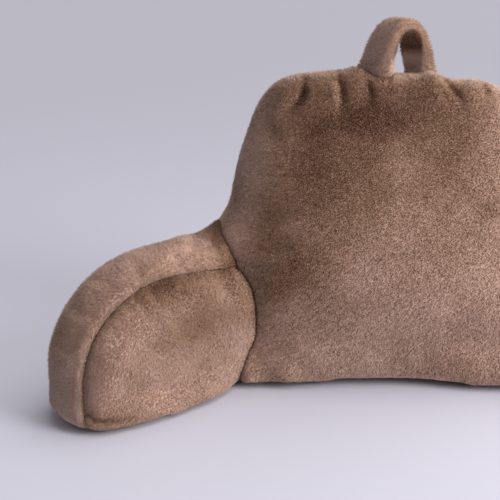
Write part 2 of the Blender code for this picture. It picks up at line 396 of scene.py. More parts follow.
def begin_skin(name, mesh_size, depth, underside):
    """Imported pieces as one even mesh, drawn in by a depth and by a share of it underneath."""
    bm = bmesh.new()
    for piece in packed(*SKINS[name].nodes):
        bm.from_mesh(piece.data)
    skin = add_shape(f"{name}_skin", bm)
    modify(skin, "REMESH", mode="VOXEL", voxel_size=mesh_size)
    surface = surface_of(skin)
    share = 1.0 + (underside - 1.0) * smooth(1.25 * facing_down(surface.normals))
    set_points(skin, pushed(surface, -depth * share))
    return skin


def sew_on(obj, tree, drawn, reach):
    """Run a piece's end on into its neighbour, as far as it had been drawn away and more."""
    points = surface_of(obj).points
    for index, point in enumerate(points):
        _, normal, _, distance = tree.find_nearest(Vector(point))
        share = smooth(1.0 - (distance - drawn) / reach)
        points[index] -= share * (drawn + reach) * np.array(normal)
    set_points(obj, points)


def sink(obj, tree, depth, share):
    """Bury a share of a piece's points at least this deep under its neighbour's skin."""
    points = surface_of(obj).points
    for index in np.flatnonzero(share > 0.0):
        nearest, normal, _, _ = tree.find_nearest(Vector(points[index]))
        out = (Vector(points[index]) - nearest).dot(normal)
        points[index] -= share[index] * max(out + depth, 0.0) * np.array(normal)
    set_points(obj, points)


def held_share(near, points):
    """Share by which cloth is kept in place: where it meets its neighbour or rests."""
    joined = smooth(1.0 - (near - 0.006) / 0.01)
    resting = smooth(1.0 - (points[:, 2] - 0.004) / 0.012)
    return np.maximum(joined, resting)


def fill(obj, settings, held):
    """Blow the cloth up where it isn't held, cap how far it moved and apply it."""
    start = surface_of(obj).points
    group = share_group(obj, "held", held)
    modifier = obj.modifiers.new("filling", "CLOTH")
    assign(
        modifier.settings, quality=5, mass=0.3, tension_stiffness=12.0,
        compression_stiffness=12.0, shear_stiffness=6.0, bending_stiffness=settings.bending,
        use_pressure=True, uniform_pressure_force=settings.pressure,
        shrink_min=-settings.slack, vertex_group_mass=group, pin_stiffness=1.0)
    modifier.settings.effector_weights.gravity = 0.0
    assign(modifier.point_cache, frame_start=1, frame_end=settings.frames)
    scene = bpy.context.scene
    for number in range(1, settings.frames + 1):
        scene.frame_set(number)
    settle(obj)
    scene.frame_set(1)
    move = surface_of(obj).points - start
    length = lengths(move)
    allowed = settings.cap * np.tanh(length / settings.cap)
    move *= (allowed / np.maximum(length, 1e-9))[:, None]
    points = start + move
    points[:, 2] = np.maximum(points[:, 2], settings.floor_gap)
    set_points(obj, points)


# ---- pile

Tufts = namedtuple("Tufts", "root normal lean height reach width tone")

# Noise that turns the ruffled pile aside: strength, share of the ruffle size and seed
RUFFLES = ((0.75, 1.0, 11), (0.45, 0.4, 12))
RISE_LIMITS = (0.25, 1.45)  # radians
LENGTH_LIMITS = (0.15, 1.35)  # of a tuft's set length
WIDTH_LIMITS = (0.5, 1.6)  # of its set width
TIP_LEAN = 0.7  # how far a tip is shaded the way its tuft points
ROOT_SPREAD = 0.42  # how far a root's corners are shaded outwards


def scatter(surface, weight, count, rng):
    """Spread points over a surface by area times weight: places and their normals."""
    corners = surface.points[surface.triangles]
    area = 0.5 * lengths(cross_of(corners)) * weight
    total = np.cumsum(area)
    picks = (np.arange(count) + rng.random(count)) / count * total[-1]
    chosen = np.minimum(np.searchsorted(total, picks), len(area) - 1)
    pair = np.stack([rng.random(count), rng.random(count)])
    pair = np.where(pair.sum(axis=0) > 1.0, 1.0 - pair, pair)
    shares = np.stack([1.0 - pair.sum(axis=0), *pair], axis=1)[:, :, None]
    places = (corners[chosen] * shares).sum(axis=1)
    normals = unit((surface.normals[surface.triangles[chosen]] * shares).sum(axis=1))
    return places, normals


def tangent(directions, normals):
    """The part of each direction that lies along the surface, at length one."""
    return unit(directions - (directions * normals).sum(axis=1)[:, None] * normals)


def combed(nap):
    """A lie that follows one way all over, with no tuft trimmed or left out."""
    def lie(points, normals):
        ones = np.ones(len(points))
        return tangent(nap, normals), ones, ones
    return lie


def pile_weight(normals, gap, seam, hidden):
    """How closely pile grows: densest in seams, thin underneath and on the hidden sides."""
    dense = above(gap, -0.004, 0.004) * (1.0 + 2.5 * np.maximum(seam, hump(gap, 0.006)))
    return dense * (1.0 - 0.8 * smooth(1.3 * facing_down(normals))) * (1.0 - hidden)


def grow_pile(name, tufts, lowest):
    """Make the tufts, each a closed three-sided spike, as one mesh that stays above lowest."""
    count = len(tufts.root)
    side = np.cross(tufts.normal, tufts.lean)
    points = np.empty((count, 4, 3))
    shading = np.empty((count, 4, 3))
    for corner in range(3):
        angle = 2.0 * math.pi * corner / 3.0
        out = math.cos(angle) * tufts.lean + math.sin(angle) * side
        points[:, corner] = tufts.root + 0.5 * tufts.width[:, None] * out
        shading[:, corner] = unit(tufts.normal + ROOT_SPREAD * out)
    points[:, 3] = (
        tufts.root + tufts.height[:, None] * tufts.normal + tufts.reach[:, None] * tufts.lean)
    points[:, :, 2] = np.maximum(points[:, :, 2], lowest)
    own_way = unit(points[:, 3] - tufts.root)
    shading[:, 3] = unit((1.0 - TIP_LEAN) * tufts.normal + TIP_LEAN * own_way)
    faces = np.array([[0, 2, 1], [0, 1, 3], [1, 2, 3], [2, 0, 3]])
    corners = (faces[None] + 4 * np.arange(count)[:, None, None]).reshape(-1)
    mesh = bpy.data.meshes.new(name)
    mesh.vertices.add(count * 4)
    mesh.vertices.foreach_set("co", points.astype(np.float32).ravel())
    mesh.loops.add(len(corners))
    mesh.loops.foreach_set("vertex_index", corners.astype(np.int32))
    mesh.polygons.add(count * 4)
    mesh.polygons.foreach_set("loop_start", np.arange(0, count * 12, 3, dtype=np.int32))
    mesh.polygons.foreach_set("use_smooth", np.ones(count * 4, bool))
    mesh.update(calc_edges=True)
    map_tufts(mesh, tufts.tone, corners)
    mesh.normals_split_custom_set_from_vertices(shading.reshape(-1, 3).astype(np.float32))
    mesh.materials.append(shared_material(PILE, pile_material))
    return add_object(name, mesh)


def map_tufts(mesh, tone, corners):
    """Lay the map: each tuft's tone across, a little apart at its corners, and its height."""
    across = tone[:, None] + np.array([-0.012, 0.012, 0.0, 0.0])
    upward = np.array([0.02, 0.02, 0.02, 0.98])
    flat = np.stack([across, np.broadcast_to(upward, across.shape)], axis=2).reshape(-1, 2)
    layer = mesh.uv_layers.new(name=MAP_NAME)
    layer.uv.foreach_set("vector", flat[corners].astype(np.float32).ravel())


def file_piece(obj, name):
    """Attach a skin or its pile to the body and hide the imported pieces that it stands for."""
    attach(obj, BODY)
    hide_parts(*SKINS[name].nodes)


def cover_with_pile(name, count, pile, weight, lie, tone):
    """Tone a skin and grow its pile, with none inside the skins that it is sewn to.

    weight and tone take places, normals and distance from those skins. lie takes the first
    two and gives the way tufts lie, their share of length and how likely they are.
    """
    skin, = skins(name)
    neighbours = tree_of(*skins(*SKINS[name].neighbours))
    rng = np.random.default_rng(SKINS[name].seed)
    surface = surface_of(skin)
    gap = distance_to(neighbours, surface.points)
    set_tone(skin, tone(surface.points, surface.normals, gap))
    middles = surface.points[surface.triangles].mean(axis=1)
    facing = unit(surface.normals[surface.triangles].mean(axis=1))
    density = weight(middles, facing, distance_to(neighbours, middles))
    places, normals = scatter(surface, density, count, rng)
    gap = distance_to(neighbours, places)
    way, trim, opening = lie(places, normals)
    keep = (opening > rng.random(count) * 0.5 + 0.25) & (gap > -pile.sink)
    places, normals, gap, way, trim = (
        column[keep] for column in (places, normals, gap, way, trim))
    count = len(places)
    size = pile.ruffle_size
    waves = ((strength, size * share, seed) for strength, share, seed in RUFFLES)
    angles = pile.ruffle * mottle(places, *waves) + pile.stray * rng.standard_normal(count)
    side = np.cross(normals, way)
    way = np.cos(angles)[:, None] * way + np.sin(angles)[:, None] * side
    raised = pile.rise + 0.16 * patches(places, size * 0.7, 13)
    raised = np.clip(raised + 0.1 * rng.standard_normal(count), *RISE_LIMITS)
    trim = trim * (0.55 + 0.45 * smooth(gap / 0.006))
    length = trim * (1.0 + 0.14 * rng.standard_normal(count))
    length = pile.length * np.clip(length, *LENGTH_LIMITS)
    pressed = smooth(1.4 * facing_down(normals))
    height = length * np.sin(raised) * (1.0 - 0.86 * pressed)
    reach = length * np.cos(raised)
    root = places - pile.sink * normals
    tip = root + height[:, None] * normals + reach[:, None] * way
    height += np.maximum(pile.floor_gap - tip[:, 2], 0.0) * np.abs(normals[:, 2])
    tones = tone(places, normals, gap) + 0.05 * patches(places, 0.012, 22)
    grain = SKINS[name].grain * (1.0 + 0.4 * below(places[:, 2], 0.24, 0.1))
    tones += grain * (0.5 * patches(places, 0.0045, 21) + rng.standard_normal(count))
    tones = np.clip(tones, *TONE_LIMITS)
    width = pile.width * np.clip(1.0 + 0.2 * rng.standard_normal(count), *WIDTH_LIMITS)
    tufts = Tufts(root, normals, way, height, reach, width, tones)
    order = np.argsort(places[:, 0], kind="stable")
    parts = math.ceil(count / pile.piece_tufts)
    for number, chosen in enumerate(np.array_split(order, parts), start=1):
        part = Tufts(*(column[chosen] for column in tufts))
        file_piece(grow_pile(f"{name}_pile_{number}", part, pile.floor_gap), name)


# ---- materials

PILE = "polyester plush pile, brushed"
UNDERCOAT = "polyester plush undercoat"
PLUSH_TONES = (
    (0.0, "#54382b"), (0.15, "#85644f"), (0.3, "#9e7f6b"), (0.5, "#c09e8e"), (0.7, "#d4b5a8"),
    (1.0, "#eacfc3"))
# Settings that pile and undercoat share: matt fibres, whose ends send light back at a slant
FIBRE = {"IOR": 1.5, "Sheen Roughness": 0.5, "Sheen Tint": (*linear("#e8d2c0"), 1.0)}


def add_node(tree, kind, settings=None, links=None):
    """Add a node with its settings, and its links as input: (node, output)."""
    node = tree.nodes.new(kind)
    for key, value in (settings or {}).items():
        if isinstance(key, str) and hasattr(node, key):
            setattr(node, key, value)
        else:
            node.inputs[key].default_value = value
    for key, (source, output) in (links or {}).items():
        tree.links.new(source.outputs[output], node.inputs[key])
    return node


def new_material(name):
    """An empty material and its node tree."""
    material = bpy.data.materials.new(name)
    material.use_nodes = True
    material.node_tree.nodes.clear()
    return material, material.node_tree


def set_ramp(node, stops):
    """Give a colour ramp its stops, as place and sRGB hex value."""
    elements = node.color_ramp.elements
    while len(elements) < len(stops):
        elements.new(0.5)
    for element, (place, code) in zip(elements, stops):
        assign(element, position=place, color=(*linear(code), 1.0))


def pile_material():
    """Polyester plush pile, cut short and brushed.

    Fine matt fibres, with painted shade that deepens from the tips down between the tufts,
    and the soft bloom that fibre ends give at a slant.
    """
    material, tree = new_material(PILE)
    place = add_node(tree, "ShaderNodeUVMap", {"uv_map": MAP_NAME})
    split = add_node(tree, "ShaderNodeSeparateXYZ", links={"Vector": (place, "UV")})
    tone = add_node(tree, "ShaderNodeValToRGB", links={"Fac": (split, "X")})
    set_ramp(tone, PLUSH_TONES)
    # Painted shade down each tuft: darkest at its root, full tone at its tip
    depth = add_node(tree, "ShaderNodeValToRGB", links={"Fac": (split, "Y")})
    set_ramp(depth, ((0.0, "#cecece"), (0.5, "#efefef"), (1.0, "#ffffff")))
    first_colour, second_colour, mixed_colour = 6, 7, 2
    colour = add_node(
        tree, "ShaderNodeMix", {"data_type": "RGBA", "blend_type": "MULTIPLY", "Factor": 1.0},
        {first_colour: (tone, "Color"), second_colour: (depth, "Color")})
    shader = add_node(
        tree, "ShaderNodeBsdfPrincipled",
        {**FIBRE, "Roughness": 0.9, "Specular IOR Level": 0.15, "Sheen Weight": 0.35},
        {"Base Color": (colour, mixed_colour)})
    add_node(tree, "ShaderNodeOutputMaterial", links={"Surface": (shader, "BSDF")})
    return material


def undercoat_material():
    """Ground of the plush: the short undercoat between the tufts, over a knitted backing.

    Dyed with the pile, so it only shows as a slightly deeper tone and a fine grain, over the
    painted shade that its tone carries.
    Grain about 1.6 mm across, coarser than the real fibres, which are too fine to see.
    """
    material, tree = new_material(UNDERCOAT)
    place = add_node(tree, "ShaderNodeTexCoord")
    grain = add_node(
        tree, "ShaderNodeTexNoise", {"Scale": 600.0, "Detail": 2.0, "Roughness": 0.6},
        {"Vector": (place, "Object")})
    spread = add_node(
        tree, "ShaderNodeMapRange",
        {"From Min": 0.25, "From Max": 0.75, "To Min": -0.17, "To Max": 0.17},
        {"Value": (grain, "Fac")})
    own = add_node(tree, "ShaderNodeAttribute", {"attribute_name": TONE_NAME})
    total = add_node(
        tree, "ShaderNodeMath", {"operation": "ADD"}, {0: (own, "Fac"), 1: (spread, "Result")})
    ramp = add_node(tree, "ShaderNodeValToRGB", links={"Fac": (total, "Value")})
    set_ramp(ramp, PLUSH_TONES)
    bump = add_node(
        tree, "ShaderNodeBump", {"Strength": 0.6, "Distance": 0.0012},
        {"Height": (grain, "Fac")})
    shader = add_node(
        tree, "ShaderNodeBsdfPrincipled",
        {**FIBRE, "Roughness": 0.95, "Specular IOR Level": 0.1, "Sheen Weight": 0.25},
        {"Base Color": (ramp, "Color"), "Normal": (bump, "Normal")})
    add_node(tree, "ShaderNodeOutputMaterial", links={"Surface": (shader, "BSDF")})
    return material


def floor_material():
    """A pale painted table top, matt, with no grain that shows."""
    material, tree = new_material("matt white paint")
    shader = add_node(tree, "ShaderNodeBsdfPrincipled", {
        "Base Color": (*linear("#b6b4bf"), 1.0), "Roughness": 0.6, "IOR": 1.5})
    add_node(tree, "ShaderNodeOutputMaterial", links={"Surface": (shader, "BSDF")})
    return material


def shared_material(name, maker):
    """A material that several pieces wear, made the first time it is asked for."""
    return bpy.data.materials.get(name) or maker()


def finish_skin(skin, name):
    """Dress a finished skin in its undercoat, shade it smooth and attach it to the body."""
    skin.data.materials.append(shared_material(UNDERCOAT, undercoat_material))
    skin.data.shade_smooth()
    file_piece(skin, name)


def set_tone(skin, tone):
    """Write the skin's tone, painted shade included, a little deeper than its pile's."""
    values = np.clip(tone - 0.06, *TONE_LIMITS)
    layer = skin.data.attributes.new(TONE_NAME, "FLOAT", "POINT")
    layer.data.foreach_set("value", values.astype(np.float32))


# ---- the arms' seams

ON_PLANE = 0.0003  # how far a seam's points may lie off its plane
SEAM_STEP = 0.0015  # how far its places may lie apart
SEAM_DIP = (0.006, 0.06)  # how far its root runs down, over this length
SEAM_ROUND = 0.02  # how much skin gives the way across it
SEAM_REACH = 0.028  # how far from it offsets are measured
FAR_OFF = 0.05  # the offset of what lies farther away

Seam = namedtuple("Seam", "tree places across plane")


def seam_plane(name):
    """The plane of the seam round an arm's inner face, its normal towards the sitter."""
    surface = surface_of(*packed(SKINS[name].nodes[1]))
    corners = surface.points[surface.triangles]
    cross = cross_of(corners)
    area = 0.5 * lengths(cross)
    facing = unit(cross)
    upright = np.abs(facing[:, 2]) < 0.5
    normal = facing[np.argmax(np.where(upright & (facing[:, 1] > 0.2), area, 0.0))]
    same = (facing @ normal > 0.9995) & upright
    centre = (corners.mean(axis=1)[same] * area[same, None]).sum(axis=0) / area[same].sum()
    return centre, -normal


def before(points, plane):
    """How far points lie on the sitter's side of a seam's plane."""
    centre, facing = plane
    return (points - centre) @ facing


def seam_of(name, skin, back):
    """The seam round an arm's inner face, from its root to its foot, and the way across it."""
    plane = seam_plane(name)
    centre, facing = plane
    points = surface_of(*packed(SKINS[name].nodes[1])).points
    rim = points[np.abs(before(points, plane)) < ON_PLANE]
    rim = rim[(rim[:, 2] > 0.004) & (distance_to(back, rim) > 0.003)]
    along = np.array([-facing[1], facing[0], 0.0])
    rim = rim[np.argsort(np.arctan2(rim[:, 2], (rim - centre) @ along))]
    if abs(rim[0, 0]) > abs(rim[-1, 0]):
        rim = rim[::-1]
    places = [rim[0]]
    for start, end in zip(rim[:-1], rim[1:]):
        steps = max(int(np.linalg.norm(end - start) / SEAM_STEP), 1)
        places += [start + (end - start) * step / steps for step in range(1, steps + 1)]
    places = np.array(places)
    dip, reach = SEAM_DIP
    places[:, 2] -= dip * smooth(1.0 - lengths(places - places[0]) / reach)
    surface = surface_of(skin)
    across = np.empty(places.shape)
    tree = KDTree(len(places))
    for index, place in enumerate(places):
        tree.insert(place, index)
        near = lengths(surface.points - place) < SEAM_ROUND
        normal = unit(surface.normals[near].mean(axis=0)[None])
        across[index] = tangent(facing[None], normal)[0]
    tree.balance()
    return Seam(tree, places, across, plane)


def seam_offset(points, seam):
    """How far points lie from the seam, across it: more than zero on the inner face."""
    side = np.where(before(points, seam.plane) > 0.0, FAR_OFF, -FAR_OFF)
    for index, point in enumerate(points):
        place, found, distance = seam.tree.find(point)
        if distance < SEAM_REACH:
            side[index] = (point - np.array(place)) @ seam.across[found]
    return side


# ---- the pieces

LEVEL = (1.0, 1.0, 0.0)  # leaves of a direction what is level
HOLE_MIDDLE = (0.0055, 0.0, 0.398)  # of the hole under the carry loop


def shape_back_foot(skin):
    """Set the front of the foot forward on the table, arched up off it in the middle."""
    points, normals, _ = surface_of(skin)
    x, y, z = points.T
    outer = np.abs(x)
    arch = below(np.abs(x + 0.03), 0.155, 0.13)
    forward = 0.025 - 0.011 * arch - 0.006 * hump(outer - 0.168, 0.03)
    forward += 0.012 * above(outer, 0.18, 0.03) + 0.006 * above(x, 0.02, 0.08)
    y -= forward * below(z, 0.07, 0.07) * below(outer, 0.262, 0.05) * below(y, 0.03, 0.05)
    under = above(-normals[:, 2], 0.6, 0.25) * below(y, 0.09, 0.04)
    lift = 0.003 * below(y, 0.07, 0.04) + (0.0034 + 0.0045 * arch) * under
    z += lift * below(z, 0.035, 0.035)
    set_points(skin, points)


def shape_shoulders(skin):
    """Let the sides run out in a hollow curve on to the arms' tops."""
    points = surface_of(skin).points
    x, y, z = points.T
    out = 0.02 * np.clip(1.0 - (z - 0.185) / 0.05, 0.0, 1.0) ** 2
    out += 0.004 * below(z, 0.32, 0.06)
    out *= above(z, 0.08, 0.1) * above(y, -0.02, 0.045) * below(y, 0.172, 0.05)
    x += out * above(np.abs(x), 0.15, 0.05) * np.sign(x)
    set_points(skin, points)


def shape_top(skin):
    """Work in the gathered folds, a swelling round the loop and the uneven top edge."""
    surface = surface_of(skin)
    points, normals, _ = surface
    rear = above(points[:, 1], 0.075, 0.03)
    push = fold_push(points, FRONT_FOLDS)[0] * (1.0 - rear)
    push += fold_push(points, REAR_FOLDS)[0] * rear
    points = pushed(surface, push * below(normals[:, 2], 0.85, 0.35))
    near = distance_to(tree_of(*packed("carry_loop")), points)
    points += (0.0045 * below(near, 0.024, 0.024))[:, None] * normals
    x, _, z = points.T
    for place, half_width, rise in TOP_RISES:
        z += rise * above(z, 0.34, 0.04) * hump(x - place, half_width)
    set_points(skin, points)


class PILLOW_OT_make_back(bpy.types.Operator):
    """Make the back cushion's skin"""
    bl_idname = "pillow.make_back"
    bl_label = "Back cushion"

    def execute(self, context):
        cloth = context.scene.pillow_cloth
        skin = begin_skin("back_cushion", cloth.mesh_size, cloth.draw_in, cloth.underside)
        relax(skin, 2)
        arms = tree_of(*packed("arm_left", "arm_right", "arm_panel_left", "arm_panel_right"))
        points = surface_of(skin).points
        fill(skin, cloth, held_share(distance_to(arms, points), points))
        z = surface_of(skin).points[:, 2]
        low = above(z, 0.006, 0.012) * below(z, 0.11, 0.04)
        relax(skin, 14, share_group(skin, "eased", low))
        subdivide(skin)
        shape_back_foot(skin)
        shape_shoulders(skin)
        shape_top(skin)
        finish_skin(skin, "back_cushion")
        return {"FINISHED"}


def make_arm(cloth, name, inward):
    """Make one arm's skin: its band and its inner face, with a seam between them."""
    back = tree_of(*packed("back_cushion"))
    skin = begin_skin(name, cloth.mesh_size, cloth.draw_in, cloth.underside)
    sew_on(skin, back, cloth.draw_in + PACKED_GAP, 0.012)
    relax(skin, 2)
    seam = seam_of(name, skin, back)
    points = surface_of(skin).points
    held = held_share(distance_to(back, points), points)
    fill(skin, cloth, np.maximum(held, hump(seam_offset(points, seam), 0.01)))
    points = surface_of(skin).points
    off_seam = 1.0 - hump(seam_offset(points, seam), 0.014)
    low = below(points[:, 2], 0.085, 0.04)
    relax(skin, 12, share_group(skin, "eased", low * off_seam))
    subdivide(skin)
    shape_arm_foot(skin, seam_plane(name))
    seam = seam_of(name, skin, back)
    shape_seam(skin, seam)
    near = distance_to(back, surface_of(skin).points) + cloth.draw_in
    shape_root(skin, np.maximum(near, 0.0), seam.plane, inward)
    finish_skin(skin, name)


def shape_arm_foot(skin, plane):
    """Let the low edge sag out over the table, under the inner face most."""
    points, normals, _ = surface_of(skin)
    x, y, z = points.T
    toe = above(np.abs(x), 0.33, 0.05)
    sag = (0.0055 + 0.0025 * toe) * hump(z - 0.012, 0.034)
    points += sag[:, None] * normals * LEVEL
    y -= 0.005 * toe * below(z, 0.06, 0.06)
    spread = 0.0125 * below(z, 0.045, 0.045) * above(before(points, plane), -0.02, 0.035)
    spread *= above(np.abs(x), 0.205, 0.05) * below(np.abs(x), 0.37, 0.07)
    points += spread[:, None] * plane[1] * LEVEL
    set_points(skin, points)


def shape_seam(skin, seam):
    """Press in the seam, its knot at the root and the crease over the foot."""
    surface = surface_of(skin)
    offset = seam_offset(surface.points, seam)
    push = -0.0034 * hump(offset, 0.0058) + 0.0006 * hump(offset + 0.009, 0.009)
    push -= 0.003 * hump(lengths(surface.points - seam.places[0]), 0.014)
    distance, fade = foot_crease(surface.points)
    push -= 0.0034 * hump(distance, 0.0075) * fade * (offset > 0.0)
    set_points(skin, pushed(surface, push))


def shape_root(skin, near, plane, inward):
    """Dip the root before the back's shoulder, bulge it over the front, bury its rear.

    near is each point's distance from the back.
    """
    points = surface_of(skin).points
    x, y, z = points.T
    inner = above(before(points, plane), -0.04, 0.04)
    swell = 0.017 * hump(z - 0.085, 0.092) - 0.011 * below(z, 0.036, 0.036)
    x += inward * swell * inner * below(near, 0.07, 0.07)
    dip = 0.0108 * hump(near - 0.007, 0.02) + 0.0034 * hump(near - 0.045, 0.035)
    z -= dip * above(z, 0.12, 0.06)
    set_points(skin, points)
    behind = above(y, 0.05, 0.04) * below(near, 0.011, 0.006)
    sink(skin, tree_of(*skins("back_cushion")), 0.007, behind)


class PILLOW_OT_make_arms(bpy.types.Operator):
    """Make both arms' skins"""
    bl_idname = "pillow.make_arms"
    bl_label = "Arms"

    def execute(self, context):
        make_arm(context.scene.pillow_cloth, "arm_left", 1.0)
        make_arm(context.scene.pillow_cloth, "arm_right", -1.0)
        return {"FINISHED"}


def towards_hole(points, normals):
    """Share by which the loop's surface faces the hole under it."""
    way = (HOLE_MIDDLE - points) * (1.0, 0.0, 1.0)
    return smooth(1.5 * (way * normals).sum(axis=1) / lengths(way))


class PILLOW_OT_make_loop(bpy.types.Operator):
    """Make the carry loop's skin"""
    bl_idname = "pillow.make_loop"
    bl_label = "Carry loop"

    def execute(self, context):
        cloth = context.scene.pillow_cloth
        back = tree_of(*packed("back_cushion"))
        skin = begin_skin("carry_loop", cloth.loop_mesh_size, cloth.loop_draw_in, 1.0)
        points = surface_of(skin).points
        _, y, z = points.T
        y -= 0.026 * below(z, 0.402, 0.036) * above(y, 0.115, 0.045)
        set_points(skin, points)
        sew_on(skin, back, cloth.loop_draw_in + PACKED_GAP, 0.009)
        relax(skin, 3)
        subdivide(skin)
        surface = surface_of(skin)
        points, normals, _ = surface
        near = np.clip(distance_to(back, points) / 0.018, 0.0, 1.0)
        inside = towards_hole(points, normals) * hump(points[:, 2] - 0.412, 0.03)
        set_points(skin, pushed(surface, 0.0045 * (1.0 - near) ** 2 + 0.002 * inside))
        finish_skin(skin, "carry_loop")
        return {"FINISHED"}


def cover_back(pile):
    """Cover the back: thinner at the rear, with painted shade high up, in its folds, along the
    floor and where it meets the arms.
    """
    def weight(points, normals, gap):
        return pile_weight(normals, gap, 0.0, 0.45 * np.clip(normals[:, 1], 0.0, 1.0))

    def tone(points, normals, gap):
        x, _, z = points.T
        # Painted shade over the upper back, less of it towards the right
        upper_shade = above(z, 0.12, 0.2) * above(x, -0.195, 0.09)
        upper_shade *= 0.45 + 0.55 * below(x, 0.143, 0.09)
        # Patches of nap and painted shading, and painted shade in the fold troughs
        own = nap_and_shading_tone(points, BACK_NAP_AND_SHADING) - 0.3 * fold_push(points, FRONT_FOLDS)[1]
        own -= 0.31 * upper_shade * (1.0 - 0.3 * above(z, 0.37, 0.02))
        # Painted shade along the floor, under the cushion's lower edge
        own -= 0.4 * below(z, 0.01, 0.01)
        own *= smooth(0.5 - normals[:, 1])
        own += mottle(points, (0.08, 0.055, 31), (0.06, 0.028, 32))
        # Painted shade in the crease where the back meets the arms, strongest low down
        crease = below(gap, 0.0035, 0.0035) * (0.25 + 0.75 * below(z, 0.195, 0.03))
        return 0.5 + own - 0.4 * crease

    cover_with_pile("back_cushion", pile.back_tufts, pile, weight, combed(NAP_BACK), tone)


def cover_arm(pile, name, outward):
    """Cover an arm: pulled into its seam, thinner outside, with painted shade near the back,
    beside its seam and in its creases.
    """
    seam = seam_of(name, *skins(name), tree_of(*packed("back_cushion")))
    facing = seam.plane[1]
    nap = NAP_ARM * np.array([outward, 1.0, 1.0])

    def weight(points, normals, gap):
        line = hump(seam_offset(points, seam), 0.006)
        return pile_weight(normals, gap, line, 0.4 * np.clip(-(normals @ facing), 0.0, 1.0))

    def lie(points, normals):
        offset = seam_offset(points, seam)
        into = -np.sign(offset)[:, None] * tangent(facing, normals)
        pull = 0.6 * hump(offset, 0.008)[:, None]
        flow = tangent(tangent(nap, normals) * (1.0 - pull) + pull * into, normals)
        return flow, 1.0 - 0.5 * hump(offset, 0.004), 1.0 - 0.9 * hump(offset, 0.0009)

    def tone(points, normals, gap):
        x, _, z = points.T
        offset = seam_offset(points, seam)
        # Darker along the seam: a dark seam line, with painted shade just beside it on both sides
        own = -0.45 * hump(offset, 0.0024) - 0.08 * hump(offset - 0.006, 0.01)
        own -= 0.05 * hump(offset + 0.006, 0.012)
        # Painted shade in the knot at the root
        own -= 0.2 * hump(lengths(points - seam.places[0]), 0.012)
        for shade, reach, start, rise in ROOT_SHADES:
            own -= shade * below(gap, reach, reach) * above(z, start, rise)
        # Painted shade in the crease over the foot, and lighter along the bottom edge
        distance, fade = foot_crease(points)
        foot = 0.06 * below(z, 0.014, 0.014) - 0.16 * hump(distance - 0.001, 0.0035) * fade
        own += foot * (offset > 0.002)
        toe = above(np.abs(x), 0.36, 0.04) * below(z, 0.11, 0.05)
        own += (0.14 + 0.06 * (offset < 0.0)) * toe
        own += nap_and_shading_tone(np.abs(points), ARM_NAP_AND_SHADING) * above(offset, -0.002, 0.004)
        own += mottle(points, (0.08, 0.05, 41), (0.05, 0.025, 42))
        # Painted shade where the arm meets the back, below its top
        return 0.436 + own - 0.4 * below(gap, 0.0035, 0.0035) * below(z, 0.195, 0.03)

    cover_with_pile(name, pile.arm_tufts, pile, weight, lie, tone)


def cover_loop(pile):
    """Cover the carry loop: painted shading by side, painted shade where it meets the back and
    inside its arch.
    """
    def weight(points, normals, gap):
        return above(gap, -0.003, 0.003)

    def tone(points, normals, gap):
        # Painted shading by side: lighter facing left, darker facing right
        own = mottle(points, (0.08, 0.03, 51)) - 0.22 * normals[:, 0]
        # Painted shade where the loop meets the back
        own -= 0.15 * below(gap, 0.004, 0.004) + 0.08 * below(gap, 0.02, 0.02)
        # Painted shade high inside the arch, painted light low inside it
        dark = 0.92 * above(points[:, 2], 0.406, 0.023) - 0.34
        return 0.44 + own - dark * towards_hole(points, normals)

    cover_with_pile("carry_loop", pile.loop_tufts, pile, weight, combed(NAP_LOOP), tone)


class PILLOW_OT_make_pile(bpy.types.Operator):
    """Tone every skin and grow its pile"""
    bl_idname = "pillow.make_pile"
    bl_label = "Pile"

    def execute(self, context):
        pile = context.scene.pillow_pile
        cover_back(pile)
        cover_arm(pile, "arm_left", -1.0)
        cover_arm(pile, "arm_right", 1.0)
        cover_loop(pile)
        return {"FINISHED"}


def make_lamp(name, kind, place, source, **values):
    """Hang a lamp at a place, with its light coming from a direction."""
    data = bpy.data.lights.new(name, kind)
    assign(data, **values)
    lamp = add_object(name, data)
    lamp.location = place
    lamp.rotation_euler = source.to_track_quat("Z", "Y").to_euler()


class PILLOW_OT_make_stage(bpy.types.Operator):
    """Make the floor, the lights and the camera"""
    bl_idname = "pillow.make_stage"
    bl_label = "Stage"

    def execute(self, context):
        scene = context.scene
        stage = scene.pillow_stage
        bm = bmesh.new()
        bmesh.ops.create_grid(bm, x_segments=1, y_segments=1, size=stage.floor_size / 2.0)
        floor = add_shape("floor", bm)
        floor.data.materials.append(floor_material())
        place = Vector(stage.key_place)
        middle = Vector((0.0, 0.0, 0.2))
        make_lamp(
            "key", "AREA", place, place - middle, energy=stage.key_power, shape="DISK",
            size=stage.key_size)
        make_lamp(
            "overhead", "SUN", Vector(), Vector(stage.top_from), energy=stage.top_power,
            angle=stage.top_angle)
        world = bpy.data.worlds.new("studio")
        world.use_nodes = True
        background = world.node_tree.nodes["Background"]
        background.inputs["Color"].default_value = (*linear("#e4e4ea"), 1.0)
        background.inputs["Strength"].default_value = stage.fill
        scene.world = world
        scene.view_settings.view_transform = "Standard"
        data = bpy.data.cameras.new("camera")
        assign(data, sensor_width=36.0, lens=stage.lens)
        camera = add_object("camera", data)
        camera.location = stage.camera_place
        camera.rotation_euler = (math.pi / 2.0 - stage.camera_tilt, 0.0, 0.0)
        scene.camera = camera
        return {"FINISHED"}


# ---- settings and panel

